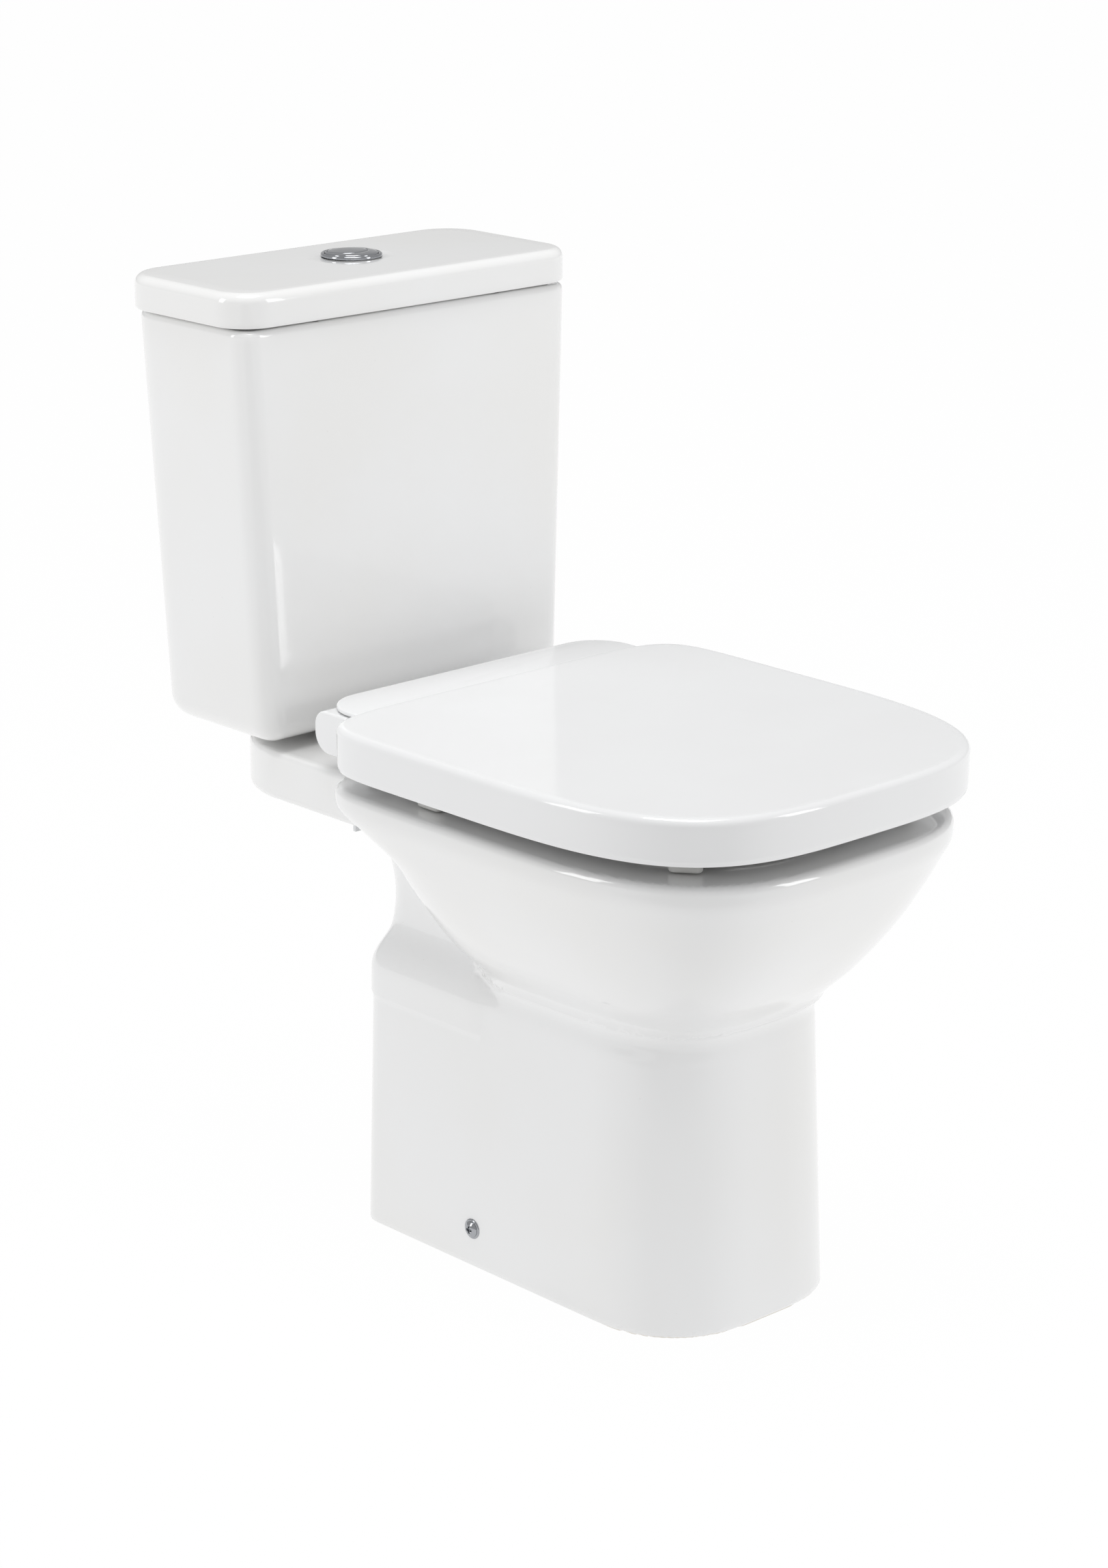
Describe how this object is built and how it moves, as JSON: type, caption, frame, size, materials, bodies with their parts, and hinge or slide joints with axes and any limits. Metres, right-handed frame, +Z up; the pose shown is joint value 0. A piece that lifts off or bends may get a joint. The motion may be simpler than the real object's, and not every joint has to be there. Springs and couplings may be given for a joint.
{
  "type": "close coupled toilet",
  "caption": "Close coupled toilet: china pan with a flat-sided pedestal, cistern and lid above, hinged seat ring and deep-skirted cover, round dual flush button.",
  "frame": {"origin": "centre of the outline on the floor", "axes": "+Z up, the front of the bowl faces -Y, X = 0 is the plane of symmetry of the china"},
  "size_m": [0.3924, 0.6701, 0.786],
  "materials": {
    "china": "glossy white glaze",
    "seat_plastic": "glossy white moulding",
    "chrome": "polished",
    "stainless": "brushed",
    "zinc_steel": "zinc plated",
    "brass": "machined",
    "rubber": "matte black",
    "buffer_rubber": "matte pale",
    "valve_plastic": "satin",
    "float_plastic": "satin"
  },
  "bodies": {
    "china": {"pan": "china", "cistern_tank": "china", "cistern_lid": "china", "lid_pads": "rubber", "coupling_gasket": "rubber", "flush_valve_back_nut": "valve_plastic", "flush_valve_body": "valve_plastic", "flush_actuator": "valve_plastic", "cistern_bolts": "zinc_steel", "cistern_bolt_seals": "rubber", "cistern_bolt_washers": "zinc_steel", "cistern_wing_nuts": "zinc_steel", "fill_valve_body": "valve_plastic", "fill_valve_seal": "rubber", "fill_valve_back_nut": "valve_plastic", "float_pin": "brass", "button_bezel": "chrome", "bezel_nut": "valve_plastic", "hinge_post_left": "seat_plastic", "hinge_post_right": "seat_plastic", "hinge_pins": "stainless", "hinge_bolts": "stainless", "hinge_washers": "valve_plastic", "hinge_wing_nuts": "valve_plastic", "floor_screws": "chrome", "floor_screw_washers": "chrome", "floor_brackets": "valve_plastic", "bracket_bolts": "zinc_steel"},
    "cover": {"seat_cover": "seat_plastic", "cover_buffers": "buffer_rubber"},
    "ring": {"seat_ring": "seat_plastic", "ring_buffers": "buffer_rubber"},
    "full_button": {"full_flush_button": "chrome", "full_flush_rod": "valve_plastic"},
    "half_button": {"half_flush_button": "chrome", "half_flush_rod": "valve_plastic"},
    "spool": {"flush_spool": "valve_plastic", "flush_seal": "rubber"},
    "float": {"float_arm": "float_plastic"}
  },
  "joints": [
    {"name": "cover_hinge", "type": "hinge", "parent": "china", "child": "cover", "pos_m": [0, 0.102, 0.4395], "axis": [-1, 0, 0], "range_deg": [0, 98]},
    {"name": "ring_hinge", "type": "hinge", "parent": "china", "child": "ring", "pos_m": [0, 0.102, 0.4395], "axis": [-1, 0, 0], "range_deg": [0, 95]},
    {"name": "full_flush_press", "type": "slide", "parent": "china", "child": "full_button", "axis": [0, 0, -1], "range_m": [0, 0.008], "stiffness_N_per_m": 300, "springref_m": -0.002},
    {"name": "half_flush_press", "type": "slide", "parent": "china", "child": "half_button", "axis": [0, 0, -1], "range_m": [0, 0.008], "stiffness_N_per_m": 300, "springref_m": -0.002},
    {"name": "spool_lift", "type": "slide", "parent": "china", "child": "spool", "axis": [0, 0, 1], "range_m": [0, 0.024]},
    {"name": "float_swing", "type": "hinge", "parent": "china", "child": "float", "pos_m": [0.086, 0.288, 0.651], "axis": [0, 1, 0], "range_deg": [-18, 0]}
  ],
  "couplings": [
    {"joint": "ring_hinge", "follows": "cover_hinge", "ratio": 0.965},
    {"joint": "spool_lift", "follows": "full_flush_press", "ratio": 3}
  ]
}
